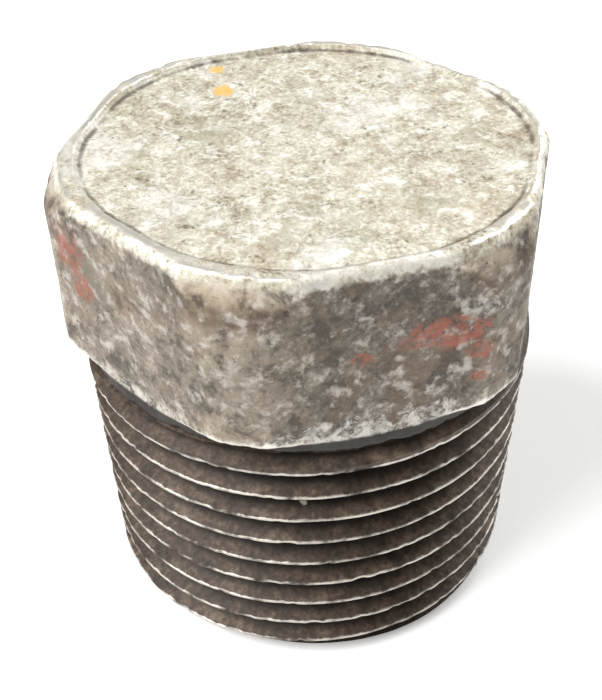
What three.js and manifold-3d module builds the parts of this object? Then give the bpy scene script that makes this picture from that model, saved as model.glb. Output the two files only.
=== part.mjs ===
// Solid hexagon-head pipe plug with a male taper pipe thread, size 3/4 inch, 14 threads per inch.
//
// The plug is one steel forging with two zones, and each zone is one mesh:
//   hex_head        the as-forged wrench head, with a dished top inside a thin rim and a round
//                   collar under it
//   threaded_shank  the turned shank with its taper thread
// They meet face to face on the plane of the collar's underside.
//
// Units are millimetres, +Z up. The origin is the centre of the shank's small end face, so the
// plug stands on its thread with the head on top. Two flats of the hexagon face +Y and -Y.

import * as THREE from 'three';
import { mergeVertices } from 'three/addons/utils/BufferGeometryUtils.js';
import Module from 'manifold-3d';

// ---- driving dimensions: thread ----

const threadPitch = 25.4 / 14;      // axial distance from crest to crest
const taperOnDiameter = 1 / 16;     // growth of the diameter for each millimetre along the axis
const gaugeDiameter = 26.67;        // crest diameter at the gauge height
const gaugeHeight = 14;             // height above the small end where the gauge diameter lies
const flankAngle = Math.PI / 6;     // each flank leans 30 degrees, a 60 degree thread
const crestFlat = 0.13;             // width of the worn flat on a crest
const rootFlat = 0.12;              // width of the flat in the root
const threadStart = -109;           // degrees round the axis where a crest crosses the gauge height

// ---- driving dimensions: shank ----

const shankLength = 17.2;           // small end to the underside of the head's collar
const endChamferDepth = 0.5;        // how far the small end's chamfer cuts in
const endChamferHeight = 1;         // how far it reaches up the shank
const runOutBeyond = 0.28;          // the last groove's centre would end this far above the shank
const runOutTurns = 1.3;            // turns over which the die lifts out of the last groove

// ---- driving dimensions: head ----

const acrossFlats = 26.1;
const headHeight = 11;              // from the underside of the collar to the top of the rim
const collarDiameter = 26.5;        // round forged collar between the hexagon and the thread
const collarHeight = 0.7;
const lowerChamferRise = 0.5;       // how far the chamfer under the hexagon climbs to the corners
const lowerChamferSink = 0.05;      // at the flats it starts this far below the collar's top
const cornerTrim = 0.77;            // how far the six sharp corners are cut back towards the axis
const cornerRounding = 1;           // rounding of the upright edges before the corners are trimmed
const edgeDrop = 0.6;               // the rounding along the upper edges: its height
const edgeInset = 0.25;             // and how far it goes in from the flats
const topStandOff = 0.25;           // the corner chamfer meets the top this far outside the flats
const topChamferHeight = 1.8;       // how far that chamfer reaches down the corners
const rimWidth = 0.75;              // from a flat inwards to the edge of the dished top
const dishCornerRadius = 9.5;       // the dish is a hexagon with very round corners
const dishDepth = 0.35;

// ---- fineness of the facets ----

const stepsPerTurn = 40;
const cornerSegments = 5;
const coneSegments = 96;
const sliverSize = 0.004;           // edges shorter than about this are merged away after a cut

// ---- thread form worked out from the driving dimensions ----

const grooveMouth = threadPitch - crestFlat;
const threadDepth = (grooveMouth - rootFlat) / 2 / Math.tan(flankAngle);
const crestRadius = (height) => (gaugeDiameter + (height - gaugeHeight) * taperOnDiameter) / 2;

// ---- head circles worked out from the driving dimensions ----

const cornerRadius = acrossFlats / 2 / Math.cos(Math.PI / 6) - cornerTrim;
const topRadius = acrossFlats / 2 + topStandOff;

// ---- solids ----

const wasm = await Module();
wasm.setup();

function solidFrom(geometry) {
  const bare = geometry.clone();
  bare.deleteAttribute('normal');
  bare.deleteAttribute('uv');
  const merged = mergeVertices(bare, 1e-4);
  const corners = merged.index.array;
  const triangles = [];
  for (let i = 0; i < corners.length; i += 3) {
    const [a, b, c] = corners.slice(i, i + 3);
    // A turned shape's triangles at its axis have two corners in one place, and are dropped.
    if (a !== b && b !== c && c !== a) triangles.push(a, b, c);
  }
  return new wasm.Manifold(new wasm.Mesh({
    numProp: 3,
    vertProperties: new Float32Array(merged.attributes.position.array),
    triVerts: new Uint32Array(triangles),
  }));
}

// The cut solid as a geometry, with the slivers that cuts leave along near edges merged away.
function geometryFrom(solid) {
  const mesh = solid.asOriginal().simplify(sliverSize).getMesh();
  const geometry = new THREE.BufferGeometry();
  geometry.setAttribute('position', new THREE.BufferAttribute(mesh.vertProperties, 3));
  geometry.setIndex(new THREE.BufferAttribute(mesh.triVerts, 1));
  geometry.computeVertexNormals();
  return geometry;
}

// A profile of [radius, height] points turned about the Z axis.
function turned(points, segments) {
  const profile = points.map(([radius, height]) => new THREE.Vector2(radius, height));
  return new THREE.LatheGeometry(profile, segments).rotateX(Math.PI / 2);
}

// A hexagon with two flats square to Y and a true arc on each corner.
function hexagonOutline(widthAcrossFlats, radius) {
  const flat = widthAcrossFlats / 2;
  const rounding = Math.min(radius, flat * 0.999);
  const centreDistance = (flat - rounding) / Math.cos(Math.PI / 6);
  const outline = new THREE.Shape();
  for (let corner = 0; corner < 6; corner += 1) {
    const direction = corner * Math.PI / 3;
    const x = centreDistance * Math.cos(direction);
    const y = centreDistance * Math.sin(direction);
    outline.absarc(x, y, rounding, direction - Math.PI / 6, direction + Math.PI / 6, false);
  }
  outline.closePath();
  return outline;
}

// ---- hexagon head ----

function hexHeadGeometry() {
  const underside = shankLength;
  const top = underside + headHeight;

  // The hexagonal bar, with its upper edges rounded. It starts under the head, where the envelope
  // trims it off.
  const bar = new THREE.ExtrudeGeometry(hexagonOutline(acrossFlats, cornerRounding), {
    depth: headHeight,
    curveSegments: cornerSegments,
    bevelThickness: edgeDrop,
    bevelSize: edgeInset,
    bevelOffset: -edgeInset,
    bevelSegments: 3,
  }).translate(0, 0, underside - edgeDrop);

  // A turned envelope trims the six corners, and its cones leave curved chamfer lines on the flats.
  // The lower cone goes on into the collar, where the two are joined.
  const collarTop = underside + collarHeight;
  const flatRadius = acrossFlats / 2;
  const lowerSlope = (lowerChamferRise + lowerChamferSink) / (cornerRadius - flatRadius);
  const joinHeight = underside + collarHeight / 2;
  const joinRadius = flatRadius - (collarTop - lowerChamferSink - joinHeight) / lowerSlope;
  const envelope = turned([
    [0, joinHeight],
    [joinRadius, joinHeight],
    [cornerRadius, collarTop + lowerChamferRise],
    [cornerRadius, top - topChamferHeight],
    [topRadius, top],
    [0, top],
  ], coneSegments);
  const collar = turned([
    [0, underside],
    [collarDiameter / 2, underside],
    [collarDiameter / 2, collarTop],
    [0, collarTop],
  ], coneSegments);

  // The dished top inside the rim.
  const dish = new THREE.ExtrudeGeometry(hexagonOutline(acrossFlats - 2 * rimWidth, dishCornerRadius), {
    depth: dishDepth + headHeight,
    curveSegments: 2 * cornerSegments,
    bevelEnabled: false,
  }).translate(0, 0, top - dishDepth);

  const hexagon = solidFrom(bar).intersect(solidFrom(envelope)).subtract(solidFrom(dish));
  return geometryFrom(hexagon.add(solidFrom(collar)));
}

// ---- threaded shank ----

// The die lifts out along the helix, until the groove's depth has gone at its last centre.
const startAngle = THREE.MathUtils.degToRad(threadStart);
const lastHeight = shankLength + runOutBeyond;
const lastAngle = startAngle + 2 * Math.PI * ((lastHeight - gaugeHeight) / threadPitch - 0.5);

// The turned blank: chamfered small end and tapered body. Its facets lie half a step from the
// groove's, so that no two of them nearly coincide.
function shankBlank() {
  return turned([
    [0, 0],
    [crestRadius(0) - endChamferDepth, 0],
    [crestRadius(endChamferHeight), endChamferHeight],
    [crestRadius(shankLength), shankLength],
    [0, shankLength],
  ], stepsPerTurn).rotateZ(lastAngle + Math.PI / 2 + Math.PI / stepsPerTurn);
}

// The thread groove as one solid. Its section is extruded straight, with the length of the
// extrusion as the angle, and each point is then wrapped round the axis on the tapered helix,
// from the head end down, which keeps its faces pointing outwards.
function threadGroove() {
  const standProud = 0.6 * crestFlat / 2 / Math.tan(flankAngle);
  const mouth = grooveMouth / 2 + standProud * Math.tan(flankAngle);
  const section = new THREE.Shape([
    new THREE.Vector2(-threadDepth, -rootFlat / 2),
    new THREE.Vector2(standProud, -mouth),
    new THREE.Vector2(standProud, mouth),
    new THREE.Vector2(-threadDepth, rootFlat / 2),
  ]);

  const steps = Math.ceil((lastHeight / threadPitch + 1) * stepsPerTurn);

  const groove = new THREE.ExtrudeGeometry(section, {
    depth: steps * 2 * Math.PI / stepsPerTurn,
    steps,
    bevelEnabled: false,
  });
  const position = groove.attributes.position;
  for (let i = 0; i < position.count; i += 1) {
    const angle = lastAngle - position.getZ(i);
    const turnsLeft = position.getZ(i) / (2 * Math.PI);
    const height = lastHeight - threadPitch * turnsLeft + position.getY(i);
    const lift = threadDepth * Math.max(0, 1 - turnsLeft / runOutTurns) ** 3;
    const radius = crestRadius(height) + position.getX(i) + lift;
    position.setXYZ(i, radius * Math.cos(angle), radius * Math.sin(angle), height);
  }
  return groove;
}

function threadedShankGeometry() {
  return geometryFrom(solidFrom(shankBlank()).subtract(solidFrom(threadGroove())));
}

// ---- materials ----

const forgedSteel = new THREE.MeshStandardMaterial({ color: 0x77706a, roughness: 0.62, metalness: 0.75 });
const threadSteel = new THREE.MeshStandardMaterial({ color: 0x4a4038, roughness: 0.5, metalness: 0.8 });

// ---- the plug ----

const hexHead = new THREE.Mesh(hexHeadGeometry(), forgedSteel);
hexHead.name = 'hex_head';

const threadedShank = new THREE.Mesh(threadedShankGeometry(), threadSteel);
threadedShank.name = 'threaded_shank';

const plug = new THREE.Group();
plug.add(hexHead, threadedShank);

export default plug;
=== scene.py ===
# A solid hexagon-head pipe plug in forged steel, with a 3/4 inch male taper pipe thread.
# It stands on the small end of its thread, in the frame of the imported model, in metres.

import math

import bpy
import numpy as np
from mathutils import Matrix, Vector, noise


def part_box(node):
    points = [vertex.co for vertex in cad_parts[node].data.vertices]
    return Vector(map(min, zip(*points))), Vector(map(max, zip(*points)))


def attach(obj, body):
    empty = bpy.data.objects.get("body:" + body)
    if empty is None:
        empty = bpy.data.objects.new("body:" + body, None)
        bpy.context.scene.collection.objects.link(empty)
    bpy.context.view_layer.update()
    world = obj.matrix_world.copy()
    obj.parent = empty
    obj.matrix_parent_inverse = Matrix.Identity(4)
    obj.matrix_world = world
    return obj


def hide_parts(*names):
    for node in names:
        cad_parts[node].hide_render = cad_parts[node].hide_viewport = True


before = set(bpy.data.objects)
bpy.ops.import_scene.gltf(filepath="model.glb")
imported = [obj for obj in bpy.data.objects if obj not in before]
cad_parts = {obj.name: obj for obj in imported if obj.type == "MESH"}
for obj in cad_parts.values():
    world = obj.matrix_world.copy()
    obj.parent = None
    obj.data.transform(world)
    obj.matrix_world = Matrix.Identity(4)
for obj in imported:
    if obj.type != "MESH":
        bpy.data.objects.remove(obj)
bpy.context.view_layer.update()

scene = bpy.context.scene
mm = 0.001


# ---- Camera ----
# A phone held close over the plug, looking steeply down on the head. It is so near that the plug
# narrows strongly towards its foot.

camera_azimuth = math.radians(-15.85)
camera_elevation = math.radians(39.53)
camera_distance = 70.33 * mm
aim_height = 11.98 * mm
camera_yaw = math.radians(0.328)
camera_pitch = math.radians(0.965)
camera_roll = math.radians(0.887)

back = Vector((0, -math.cos(camera_elevation), math.sin(camera_elevation)))
forward = -back
right = Vector((1, 0, 0))
up = right.cross(forward)
turn = Matrix.Rotation(camera_yaw, 3, up)
forward, right = turn @ forward, turn @ right
turn = Matrix.Rotation(camera_pitch, 3, right)
forward, up = turn @ forward, turn @ up
turn = Matrix.Rotation(camera_roll, 3, forward)
right, up = turn @ right, turn @ up

lens = bpy.data.cameras.new("camera")
lens.sensor_width = 36
lens.lens = 56.83
lens.clip_start = 1 * mm
camera = bpy.data.objects.new("camera", lens)
scene.collection.objects.link(camera)
placed = Matrix((right, up, -forward)).transposed().to_4x4()
placed.translation = back * camera_distance + Vector((0, 0, aim_height))
camera.matrix_world = Matrix.Rotation(camera_azimuth, 4, "Z") @ placed
scene.camera = camera


# ---- Hexagon head ----
# The wrench end of the plug, hot forged in one piece with the shank: a hexagonal block on a round
# collar, its corners trimmed round and chamfered, with a shallow dish inside a thin raised rim.
# It is forged steel, left as it came from the dies, handled until its edges are bright.

head_low, head_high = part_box("hex_head")
collar_radius = 13.25 * mm
collar_top = head_low.z + 0.7 * mm
across_flats = 26.1 * mm
corner_circle = head_high.x - head_low.x
top_circle = 26.6 * mm
top_chamfer_height = 1.8 * mm
upright_rounding = 1.2 * mm
edge_rounding = 0.35 * mm
lower_chamfer_rise = 0.5 * mm
rim_width = 0.75 * mm
dish_corner_radius = 9.5 * mm
dish_depth = 0.35 * mm
dish_shift = (0.2 * mm, 0.05 * mm)
collar_overlap = 0.35 * mm
cone_reach = 0.3 * mm
margin = 1 * mm
voxel = 0.16 * mm


def deselect():
    if bpy.context.mode != "OBJECT":
        bpy.ops.object.mode_set(mode="OBJECT")
    bpy.ops.object.select_all(action="DESELECT")


def hexagonal_bar(name, width, low, high, radius, segments, centre=(0, 0)):
    """A hexagonal prism with two flats square to Y and its upright edges rounded."""
    deselect()
    bpy.ops.mesh.primitive_cylinder_add(
        vertices=6, radius=width / 2 / math.cos(math.pi / 6), depth=high - low,
        location=(*centre, (low + high) / 2), rotation=(0, 0, math.pi / 6))
    bar = bpy.context.object
    bar.name = name
    bpy.ops.object.transform_apply()
    for edge in bar.data.edges:
        a, b = (bar.data.vertices[i].co for i in edge.vertices)
        edge.select = abs(a.z - b.z) > (high - low) / 2
    for face in bar.data.polygons:
        face.select = False
    bpy.ops.object.mode_set(mode="EDIT")
    bpy.ops.mesh.select_mode(type="EDGE")
    bpy.ops.mesh.bevel(offset=radius * math.tan(math.pi / 6), offset_type="OFFSET", segments=segments)
    bpy.ops.object.mode_set(mode="OBJECT")
    return bar


def finish_with(piece, kind, **settings):
    """Adds one modifier to a piece and applies it."""
    deselect()
    piece.select_set(True)
    bpy.context.view_layer.objects.active = piece
    step = piece.modifiers.new("step", kind)
    for name, value in settings.items():
        setattr(step, name, value)
    bpy.ops.object.modifier_apply(modifier=step.name)


def cut(piece, tool, operation):
    """Joins or cuts a piece with another solid, which is used up."""
    finish_with(piece, "BOOLEAN", operation=operation, object=tool, solver="EXACT")
    bpy.data.objects.remove(tool)


def round_bar(low_radius, high_radius, low, high):
    """A cone or cylinder on the Z axis."""
    deselect()
    bpy.ops.mesh.primitive_cone_add(vertices=192, radius1=low_radius, radius2=high_radius,
                                    depth=high - low, location=(0, 0, (low + high) / 2))
    made = bpy.context.object
    bpy.ops.object.transform_apply()
    return made


bar_low = head_low.z + collar_overlap
head = hexagonal_bar("forged_head", across_flats, bar_low, head_high.z, upright_rounding, 6)
trimmer = round_bar(corner_circle / 2, corner_circle / 2, bar_low - margin, head_high.z + margin)
cut(head, trimmer, "INTERSECT")
chamfer_slope = (corner_circle - top_circle) / 2 / top_chamfer_height
cone_depth = head_high.z - head_low.z + margin
chamfer = round_bar(top_circle / 2 + cone_depth * chamfer_slope, top_circle / 2,
                    head_high.z - cone_depth, head_high.z)
cut(head, chamfer, "INTERSECT")
lower_slope = (corner_circle - across_flats) / 2 / lower_chamfer_rise
cone_low = collar_top - cone_reach
lower_chamfer = round_bar(across_flats / 2 - cone_reach * lower_slope,
                          across_flats / 2 + (head_high.z + margin - collar_top) * lower_slope,
                          cone_low, head_high.z + margin)
cut(head, lower_chamfer, "INTERSECT")
finish_with(head, "BEVEL", width=edge_rounding, segments=3, limit_method="ANGLE", angle_limit=0.7)
collar = round_bar(collar_radius, collar_radius, head_low.z, collar_top)
cut(head, collar, "UNION")
dish = hexagonal_bar("dish", across_flats - 2 * rim_width, head_high.z - dish_depth,
                     head_high.z + margin, dish_corner_radius, 16, dish_shift)
cut(head, dish, "DIFFERENCE")
finish_with(head, "REMESH", mode="VOXEL", voxel_size=voxel)
finish_with(head, "SMOOTH", factor=0.5, iterations=5)


def read_points(mesh):
    """Every vertex's place and outward normal, as two arrays."""
    place = np.empty(len(mesh.vertices) * 3)
    mesh.vertices.foreach_get("co", place)
    normal = np.empty(len(mesh.vertices) * 3)
    mesh.vertex_normals.foreach_get("vector", normal)
    return place.reshape(-1, 3), normal.reshape(-1, 3)


def noise_at(place, size, seed):
    offset = Vector((seed, 2.3 * seed, -seed))
    return np.array([noise.noise(Vector(p) / size + offset) for p in place])


def store(mesh, name, values):
    """Keeps one number for each vertex, for the finish to read."""
    mesh.attributes.new(name, "FLOAT", "POINT").data.foreach_set("value", values)


# The forging skin: slow hollows from the dies, fine pits of scale, and small dents on the edges.
# An edge is where the skin stands out from the average of what is round it, a crease where it lies in.
averaging_rounds = 14
sharp_edge = 0.1 * mm
dent_depth = 0.16 * mm
mesh = head.data
place, normal = read_points(mesh)
ends = np.empty(len(mesh.edges) * 2, int)
mesh.edges.foreach_get("vertices", ends)
one, other = ends.reshape(-1, 2).T
count = len(place)
links = np.bincount(one, minlength=count) + np.bincount(other, minlength=count)
soft = place.copy()
for _ in range(averaging_rounds):
    soft = np.stack([np.bincount(one, soft[other, k], count) + np.bincount(other, soft[one, k], count)
                     for k in range(3)], 1) / links[:, None]
edge = ((place - soft) * normal).sum(1) / sharp_edge
store(mesh, "edge", edge)

lift = 0.06 * mm * noise_at(place, 5 * mm, 3.1)
lift += 0.035 * mm * noise_at(place, 1.6 * mm, 7.7)
lift += 0.03 * mm * noise_at(place, 0.55 * mm, 1.9)
dents = np.clip(noise_at(place, 0.9 * mm, 4.4), 0, 1) * np.clip(edge, 0, 1)
lift -= dent_depth * dents
place += normal * lift[:, None]
mesh.vertices.foreach_set("co", place.ravel())
mesh.update()
deselect()
head.select_set(True)
bpy.context.view_layer.objects.active = head
bpy.ops.object.shade_smooth()


# The finishes are written as expressions. A Wave wraps one socket of a node tree.
class Wave:
    """One value of a material, held as a node socket."""

    def __init__(self, socket):
        self.socket = socket
        self.tree = socket.id_data

    def node(self, kind, settings, inputs, output=0):
        return make_node(self.tree, kind, settings, inputs, output)

    def math(self, operation, *others):
        return self.node("ShaderNodeMath", {"operation": operation}, (self,) + others)

    def __add__(self, other):
        return self.math("ADD", other)

    __radd__ = __add__

    def __mul__(self, other):
        return self.math("MULTIPLY", other)

    __rmul__ = __mul__

    def __sub__(self, other):
        return self.math("SUBTRACT", other)

    def __rsub__(self, other):
        return (self * -1) + other

    def step(self, low, high):
        """0 below low, 1 above high, and smooth between."""
        settings = {"interpolation_type": "SMOOTHSTEP"}
        return self.node("ShaderNodeMapRange", settings, {"Value": self, "From Min": low, "From Max": high})

    def least(self, other):
        return self.math("MINIMUM", other)


def make_node(tree, kind, settings, inputs, output=0):
    """Any node: its type, its settings, and the values or links of its sockets."""
    made = tree.nodes.new(kind)
    for name, value in settings.items():
        if name == "stops":
            ramp = made.color_ramp
            while len(ramp.elements) < len(value):
                ramp.elements.new(0.5)
            for stop, (place, colour) in zip(ramp.elements, value):
                stop.position = place
                stop.color = (*colour, 1)
        else:
            setattr(made, name, value)
    pairs = inputs.items() if isinstance(inputs, dict) else enumerate(inputs)
    for key, value in pairs:
        if isinstance(value, Wave):
            tree.links.new(value.socket, made.inputs[key])
        elif value is not None:
            made.inputs[key].default_value = value
    return Wave(made.outputs[output])


def new_finish(name):
    """A bare material, with its tree, its shader and the object's own coordinates."""
    made = bpy.data.materials.new(name)
    made.use_nodes = True
    tree = made.node_tree
    shader = tree.nodes["Principled BSDF"]
    place = make_node(tree, "ShaderNodeTexCoord", {}, {}, "Object")
    return made, tree, shader, place


def cloud(place, size, detail=4.0, roughness=0.55, seed=0.0, distortion=0.0):
    """Soft noise from 0 to 1 whose blotches are about size across."""
    inputs = {"Vector": place, "W": seed, "Scale": 1 / size, "Detail": detail,
              "Roughness": roughness, "Distortion": distortion}
    return place.node("ShaderNodeTexNoise", {"noise_dimensions": "4D"}, inputs, "Fac")


def blend(mask, below, above):
    """The colour below, with the colour above laid on where the mask is 1."""
    tree = mask.tree
    made = tree.nodes.new("ShaderNodeMix")
    made.data_type = "RGBA"
    tree.links.new(mask.socket, made.inputs["Factor"])
    for key, colour in ((6, below), (7, above)):
        if isinstance(colour, Wave):
            tree.links.new(colour.socket, made.inputs[key])
        else:
            made.inputs[key].default_value = (*colour, 1)
    return Wave(made.outputs[2])


def spot(place, centre, size, ragged=0.0, grain=None):
    """1 inside an ellipsoid of half-widths size about a point, 0 outside, with a ragged edge."""
    inputs = {"Vector": place, "Location": tuple(-c / s for c, s in zip(centre, size)),
              "Scale": tuple(1 / s for s in size)}
    local = place.node("ShaderNodeMapping", {"vector_type": "POINT"}, inputs)
    reach = local.node("ShaderNodeVectorMath", {"operation": "LENGTH"}, (local,), "Value")
    if grain is not None:
        reach = reach + (grain - 0.5) * ragged
    return 1 - reach.step(0.75, 1.15)


def attribute(tree, name):
    return make_node(tree, "ShaderNodeAttribute", {"attribute_name": name}, {}, "Fac")


def ramp(value, *stops):
    return value.node("ShaderNodeValToRGB", {"stops": stops}, (value,), "Color")


def bumpy(shader, height, depth):
    """Fine relief too small for the mesh."""
    inputs = {"Height": height, "Strength": 0.6, "Distance": depth}
    made = height.node("ShaderNodeBump", {}, inputs, "Normal")
    height.tree.links.new(made.socket, shader.inputs["Normal"])


forged, tree, shader, place = new_finish("forged_steel")
height = place.node("ShaderNodeSeparateXYZ", {}, (place,), "Z")
level = place.node("ShaderNodeVectorMath", {"operation": "MULTIPLY"}, (place, (1, 1, 0)), "Vector")
radius = level.node("ShaderNodeVectorMath", {"operation": "LENGTH"}, (level,), "Value")
edge = attribute(tree, "edge")
scale = cloud(place, 1.5 * mm, 6, 0.72, 1.0, 0.4)
flake = cloud(place, 1.1 * mm, 6, 0.75, 21.0, 1.0)
patch = cloud(place, 4 * mm, 4, 0.6, 9.0, 0.6)
fine = cloud(place, 0.24 * mm, 4, 0.72, 5.0)
mottle = scale * 0.5 + fine * 0.5
pits = 1 - cloud(place, 0.6 * mm, 3, 0.6, 33.0).step(0.30, 0.37)

# The flats and corners: brown and grey mill scale, with painted shade darkening the +X side and painted
# light making the side away from +X lighter and warmer.
side = ramp(mottle, (0.38, (0.034, 0.028, 0.021)), (0.46, (0.105, 0.088, 0.068)),
            (0.54, (0.20, 0.17, 0.135)), (0.64, (0.43, 0.385, 0.325)))
brown_patch = (0.19, 0.125, 0.078)
grey_patch = (0.068, 0.068, 0.058)
painted_shade_scale_colour = (0.060, 0.050, 0.040)
painted_light_scale_colour = (0.42, 0.34, 0.25)
side = blend(patch.step(0.50, 0.60) * 0.6, side, brown_patch)
side = blend((1 - patch.step(0.38, 0.47)) * 0.6, side, grey_patch)
across = place.node("ShaderNodeSeparateXYZ", {}, (place,), "X")
# Painted shade on the +X side and painted light on the other side, set by X alone.
painted_shade_side = (across + (patch - 0.5) * 5 * mm).step(-6.5 * mm, -2 * mm)
side = blend(painted_shade_side * 0.3, side, painted_shade_scale_colour)
side = blend((1 - painted_shade_side) * 0.22, side, painted_light_scale_colour)

# The dished top: pale oxide with greenish and brown patches.
crown = ramp(mottle, (0.38, (0.20, 0.16, 0.10)), (0.45, (0.44, 0.40, 0.30)),
             (0.53, (0.65, 0.62, 0.51)), (0.62, (0.90, 0.88, 0.81)))
broad = cloud(place, 7 * mm, 3, 0.55, 14.0, 0.5)
pale_oxide = (0.93, 0.92, 0.87)
crown = blend(patch.step(0.52, 0.66) * 0.45, crown, (0.42, 0.40, 0.29))
crown = blend(broad.step(0.52, 0.66) * 0.35, crown, (0.50, 0.42, 0.30))
crown = blend((1 - broad.step(0.36, 0.48)) * 0.35, crown, pale_oxide)
crown = blend(flake.step(0.53, 0.62) * 0.65, crown, pale_oxide)
crown = blend((1 - flake.step(0.38, 0.46)) * 0.5, crown, (0.33, 0.25, 0.16))
crown = blend(pits * 0.7, crown, (0.11, 0.085, 0.06))
on_top = height.step(head_high.z - 0.75 * mm, head_high.z - 0.3 * mm)

# The turned-looking chamfers and trimmed corners are rubbed lighter and warmer than the flats.
cone = (height * -1 + head_high.z) * chamfer_slope + top_circle / 2
shy = cone.least(corner_circle / 2) - radius
rubbed = 1 - (shy + (fine - 0.5) * 0.2 * mm).step(0.10 * mm, 0.26 * mm)
chamfer_zone = height.step(head_high.z - 2.0 * mm, head_high.z - 1.4 * mm)
rubbed = rubbed * scale.step(0.36, 0.58)
side = blend(rubbed * (0.18 + chamfer_zone * 0.45), side, (0.56, 0.47, 0.35))
ragged_height = height + (scale - 0.5) * 1.6 * mm
burnt = ragged_height.step(head_high.z - 2.9 * mm, head_high.z - 2.1 * mm)
burnt = burnt * (1 - ragged_height.step(head_high.z - 1.6 * mm, head_high.z - 0.7 * mm))
burnt = burnt * (1 - (shy + (scale - 0.5) * 0.8 * mm).step(0.15 * mm, 0.6 * mm))
side = blend(burnt * 0.7, side, (0.115, 0.075, 0.045))

# Dark scale, pale flecks and pits go on last, over the rubbed parts too.
side = blend((1 - scale.step(0.38, 0.50)) * 0.6, side, (0.05, 0.042, 0.034))
fleck = cloud(place, 0.9 * mm, 4, 0.62, 27.0, 0.15)
side = blend(fleck.step(0.50, 0.68) * 0.7, side, (0.56, 0.52, 0.47))
side = blend(pits * 0.7, side, (0.03, 0.024, 0.018))
colour = blend(on_top, side, crown)

# The collar is dull, and is painted near-black as shade under the head, and the flats' lower edges above it
# carry pale scale.
shaded_collar = 1 - (height + (fine - 0.5) * 0.2 * mm).step(collar_top, collar_top + 0.12 * mm)

# Marks of the yard: red and yellow paint, rust, and white scale.
rust_red = (0.34, 0.10, 0.06)
flaked = (flake * 0.6 + fine * 0.4).step(0.44, 0.54)
face = -across_flats / 2
for centre, size in (((3.2 * mm, face, 23.6 * mm), (2.6 * mm, 1 * mm, 0.9 * mm)),
                     ((5.3 * mm, face, 22.2 * mm), (0.9 * mm, 1 * mm, 0.6 * mm)),
                     ((5.4 * mm, face, 20.5 * mm), (0.6 * mm, 1 * mm, 0.4 * mm)),
                     ((-1.0 * mm, face, 23.0 * mm), (0.7 * mm, 1 * mm, 0.4 * mm))):
    colour = blend(spot(place, centre, size, 2.4, scale) * flaked * 0.75, colour, rust_red)
for centre, size in (((-13.5 * mm, -2.7 * mm, 25.4 * mm), (0.9 * mm, 1.2 * mm, 1.3 * mm)),
                     ((-13.2 * mm, -3.3 * mm, 23.4 * mm), (0.8 * mm, 1.0 * mm, 0.9 * mm))):
    colour = blend(spot(place, centre, size, 2.4, scale) * flaked * 0.7, colour, rust_red)
yellow = (0.80, 0.50, 0.13)
for centre, size in (((-2.7 * mm, 7.9 * mm, 27.85 * mm), (0.6 * mm, 0.75 * mm, 1 * mm)),
                     ((-2.4 * mm, 11.0 * mm, 27.85 * mm), (0.5 * mm, 0.5 * mm, 1 * mm))):
    colour = blend(spot(place, centre, size, 2.2, fine) * 0.85, colour, yellow)
white_scale = (0.66, 0.64, 0.59)
for centre, size in (((0, face, 18.7 * mm), (6.0 * mm, 1 * mm, 0.9 * mm)),
                     ((5.8 * mm, face, 24.9 * mm), (1.0 * mm, 1 * mm, 0.6 * mm))):
    flecked = spot(place, centre, size, 1.6, scale) * flake.step(0.48, 0.60)
    colour = blend(flecked * 0.75, colour, white_scale)

worn = (edge + (fine - 0.5) * 1.2 + (scale - 0.5) * 1.5).step(0.45, 1.05)
# Painted shade: concave creases, the dish's inner corner among them, are darkened.
painted_crease_shade = 1 - (edge + (scale - 0.5) * 0.9).step(-0.95, -0.50)
colour = blend(painted_crease_shade * 0.85, colour, (0.055, 0.036, 0.024))
worn = worn * (1 - shaded_collar) * (1 - burnt * 0.8)
colour = blend(worn * 0.85, colour, (0.82, 0.79, 0.71))
lower_edge = height.step(collar_top, collar_top + 0.2 * mm)
lower_edge = lower_edge * (1 - height.step(collar_top + 0.4 * mm, collar_top + 1.1 * mm))
lower_edge = lower_edge * (flake * 0.6 + fine * 0.4).step(0.42, 0.54)
colour = blend(lower_edge * 0.65, colour, (0.66, 0.63, 0.57))
# Painted shade: the collar under the head is darkened nearly to black.
colour = blend(shaded_collar * 0.96, colour, (0.026, 0.023, 0.020))
tree.links.new(colour.socket, shader.inputs["Base Color"])
tree.links.new((worn * 0.5 + 0.25).socket, shader.inputs["Metallic"])
tree.links.new((0.62 - worn * 0.22 + (fine - 0.5) * 0.3).socket, shader.inputs["Roughness"])
bumpy(shader, fine * 0.6 + scale * 0.4, 0.10 * mm)
head.data.materials.clear()
head.data.materials.append(forged)
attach(head, "root")
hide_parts("hex_head")


# ---- Threaded shank ----
# The other end of the same forging, turned to a slight taper and cut with a right-hand pipe
# thread. The crests are worn thin and bright, and the last groove runs out under the collar.

shank_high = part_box("threaded_shank")[1]
pitch = 25.4 / 14 * mm
taper = 1 / 16
gauge_diameter = 26.67 * mm
gauge_height = 14 * mm
thread_start = math.radians(-109)
crest_flat = 0.13 * mm
root_flat = 0.12 * mm
thread_depth = (pitch - crest_flat - root_flat) / 2 / math.tan(math.pi / 6)
last_groove = shank_high.z + 0.28 * mm
run_out_turns = 1.3
end_chamfer_depth = 0.5 * mm
end_chamfer_height = 1 * mm
into_head = 0.25 * mm

# One tooth is drawn as a line of points up the side, and screwed round the axis.
flank_points = 9
tooth = [(0, 0), (0, crest_flat / 2)]
for i in range(1, flank_points):
    share = i / flank_points
    tooth.append((-share * thread_depth, crest_flat / 2 + share * (pitch - crest_flat - root_flat) / 2))
tooth.append((-thread_depth, (pitch - root_flat) / 2))
tooth += [(r, pitch - z) for r, z in reversed(tooth)]
turns_below = math.ceil(gauge_height / pitch) + 1
turns = math.ceil(shank_high.z / pitch) + 3

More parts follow.
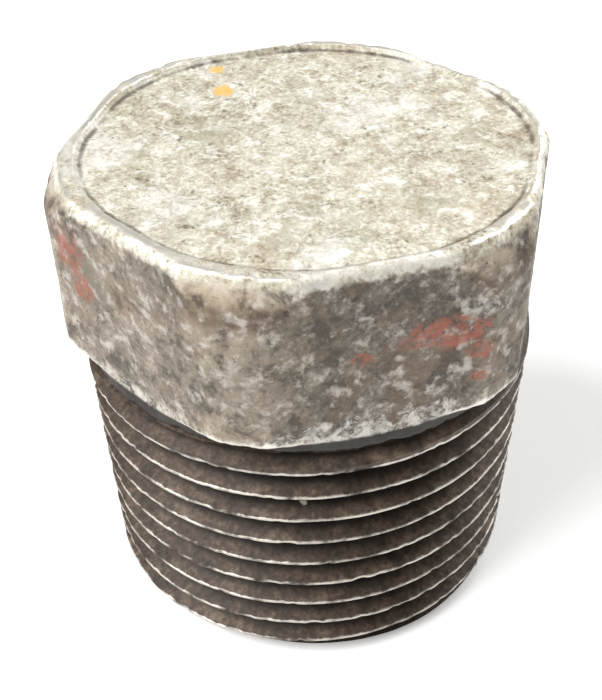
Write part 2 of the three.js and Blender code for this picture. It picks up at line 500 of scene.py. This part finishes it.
deselect()
bpy.ops.mesh.primitive_plane_add(size=1 * mm)
shank = bpy.context.object
shank.name = "threaded_shank_turned"
bpy.ops.object.mode_set(mode="EDIT")
bpy.ops.mesh.select_mode(type="VERT")
bpy.ops.mesh.merge(type="CENTER")
bpy.ops.transform.translate(value=(gauge_diameter / 2, 0, gauge_height - turns_below * pitch))
for (r0, z0), (r1, z1) in zip(tooth, tooth[1:]):
    bpy.ops.mesh.extrude_region_move(TRANSFORM_OT_translate={"value": (r1 - r0, 0, z1 - z0)})
bpy.ops.mesh.select_all(action="SELECT")
bpy.ops.transform.rotate(value=-thread_start, orient_axis="Z", center_override=(0, 0, 0))
bpy.ops.object.mode_set(mode="OBJECT")
finish_with(shank, "SCREW", axis="Z", angle=2 * math.pi, screw_offset=pitch, iterations=turns,
            steps=240, render_steps=240, use_merge_vertices=True, merge_threshold=0.001 * mm)
deselect()
shank.select_set(True)
bpy.context.view_layer.objects.active = shank
bpy.ops.object.mode_set(mode="EDIT")
for cut_height, outer in ((0, False), (shank_high.z + into_head, True)):
    bpy.ops.mesh.select_all(action="SELECT")
    bpy.ops.mesh.bisect(plane_co=(0, 0, cut_height), plane_no=(0, 0, 1), use_fill=True,
                        clear_inner=not outer, clear_outer=outer, threshold=1e-7)
bpy.ops.mesh.select_all(action="SELECT")
bpy.ops.mesh.remove_doubles(threshold=0.002 * mm)
bpy.ops.mesh.fill_holes(sides=0)
bpy.ops.mesh.normals_make_consistent(inside=False)
bpy.ops.object.mode_set(mode="OBJECT")

# The thread is tapered, its last groove is lifted out, and its crests are nicked and burred.
mesh = shank.data
place, normal = read_points(mesh)
angle = np.arctan2(place[:, 1], place[:, 0])
height = place[:, 2]
straight = np.hypot(place[:, 0], place[:, 1])
crest = (gauge_diameter + (height - gauge_height) * taper) / 2
first_crest = gauge_height + pitch * (angle - thread_start) / (2 * math.pi)
groove = first_crest + pitch * (np.floor((height - first_crest) / pitch) + 0.5)
turns_left = (last_groove - groove) / pitch
lifted = thread_depth * np.clip(1 - turns_left / run_out_turns, 0, 1) ** 3
radius = np.minimum(straight - gauge_diameter / 2 + crest + lifted, crest)
depth = np.clip((crest - radius) / thread_depth, 0, 1)
near_crest = np.clip(1 - depth / 0.12, 0, 1)
nicks = 0.22 * np.clip(noise_at(place, 0.5 * mm, 6.1) - 0.15, 0, 1)
nicks += 0.05 * np.clip(noise_at(place, 3 * mm, 2.2), 0, 1)
radius -= near_crest * nicks * mm
radius = np.where(height > shank_high.z, np.minimum(radius, collar_radius - 0.4 * mm), radius)
radius += 0.02 * mm * noise_at(place, 0.5 * mm, 8.8)
chamfer_line = gauge_diameter / 2 + (end_chamfer_height - gauge_height) * taper / 2
trimmed = chamfer_line - (1 - height / end_chamfer_height) * end_chamfer_depth
radius = np.where(height < end_chamfer_height, np.minimum(radius, trimmed), radius)
place[:, 0], place[:, 1] = radius * np.cos(angle), radius * np.sin(angle)
mesh.vertices.foreach_set("co", place.ravel())
mesh.update()
crest_line = np.clip(1 - (gauge_diameter / 2 - straight) / (0.08 * thread_depth), 0, 1)
# The end face has a few large facets, so one even value is kept all over it.
end_shade = 0.35
on_end = height < 0.001 * mm
store(mesh, "groove_depth", np.where(on_end, end_shade, depth))
store(mesh, "crest", np.where(on_end, 0, crest_line))
deselect()
shank.select_set(True)
bpy.context.view_layer.objects.active = shank
bpy.ops.object.shade_smooth_by_angle(angle=math.radians(35))

thread, tree, shader, place = new_finish("thread_steel")
height = place.node("ShaderNodeSeparateXYZ", {}, (place,), "Z")
depth = attribute(tree, "groove_depth")
scale = cloud(place, 2 * mm, 6, 0.65, 1.0)
fine = cloud(place, 0.35 * mm, 5, 0.65, 5.0)
mottle = scale * 0.5 + fine * 0.5
colour = ramp(mottle, (0.38, (0.020, 0.0135, 0.009)), (0.50, (0.070, 0.047, 0.032)),
              (0.62, (0.17, 0.122, 0.088)))
# Painted shade: the deep part of each groove, just under the crest above it, is darkened nearly to black.
root = (depth + (fine - 0.5) * 0.3).step(0.30, 0.80)
colour = blend(root * 0.92, colour, (0.010, 0.008, 0.006))
crest_line = attribute(tree, "crest")
bright = (crest_line + (fine - 0.5) * 1.4).step(0.45, 0.90) * scale.step(0.36, 0.54)
colour = blend(bright * 0.85, colour, (0.60, 0.56, 0.50))
chip = (0.78, 0.72, 0.60)
for centre, size in (((-0.5 * mm, -13.2 * mm, 9.7 * mm), (0.16 * mm, 2 * mm, 0.40 * mm)),
                     ((-3.7 * mm, -12.7 * mm, 12.9 * mm), (0.22 * mm, 2 * mm, 0.20 * mm)),
                     ((-5.7 * mm, -11.9 * mm, 11.5 * mm), (0.12 * mm, 2 * mm, 0.22 * mm))):
    colour = blend(spot(place, centre, size, 1.2, fine) * 0.9, colour, chip)
tree.links.new(colour.socket, shader.inputs["Base Color"])
tree.links.new((bright * 0.4 + 0.2).socket, shader.inputs["Metallic"])
tree.links.new((0.6 - bright * 0.2).socket, shader.inputs["Roughness"])
bumpy(shader, fine, 0.07 * mm)
shank.data.materials.clear()
shank.data.materials.append(thread)
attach(shank, "root")
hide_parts("threaded_shank")


# ---- Table top and light ----
# A white sweep under the plug, with broad soft light from behind on the left and on the right,
# so that the two faces towards the camera are the darker ones. The sweep lies a hair under the
# small end, so that the two never share a plane.

floor_drop = 0.02 * mm
deselect()
bpy.ops.mesh.primitive_plane_add(size=2, location=(0, 0, -floor_drop))
bpy.ops.object.transform_apply()
floor = bpy.context.object
floor.name = "floor"
white, tree, shader, place = new_finish("white_paper")
shader.inputs["Base Color"].default_value = (0.95, 0.95, 0.94, 1)
shader.inputs["Roughness"].default_value = 0.9
shader.inputs["Emission Color"].default_value = (1, 1, 1, 1)
shader.inputs["Emission Strength"].default_value = 0.2
floor.data.materials.append(white)


def soft_sky(name, azimuth, elevation, strength, spread):
    """A broad, even light from one direction, as from a large window."""
    data = bpy.data.lights.new(name, "SUN")
    data.energy = strength
    data.angle = math.radians(spread)
    made = bpy.data.objects.new(name, data)
    scene.collection.objects.link(made)
    a, e = math.radians(azimuth), math.radians(elevation)
    towards = Vector((math.cos(e) * math.cos(a), math.cos(e) * math.sin(a), math.sin(e)))
    made.rotation_euler = towards.to_track_quat("Z", "Y").to_euler()


soft_sky("left_window", 188, 48, 3.9, 40)
soft_sky("right_window", 24, 40, 2.2, 44)

world = bpy.data.worlds.new("studio")
world.use_nodes = True
world.node_tree.nodes["Background"].inputs["Color"].default_value = (1, 1, 1, 1)
world.node_tree.nodes["Background"].inputs["Strength"].default_value = 0.2
scene.world = world
scene.view_settings.view_transform = "Standard"
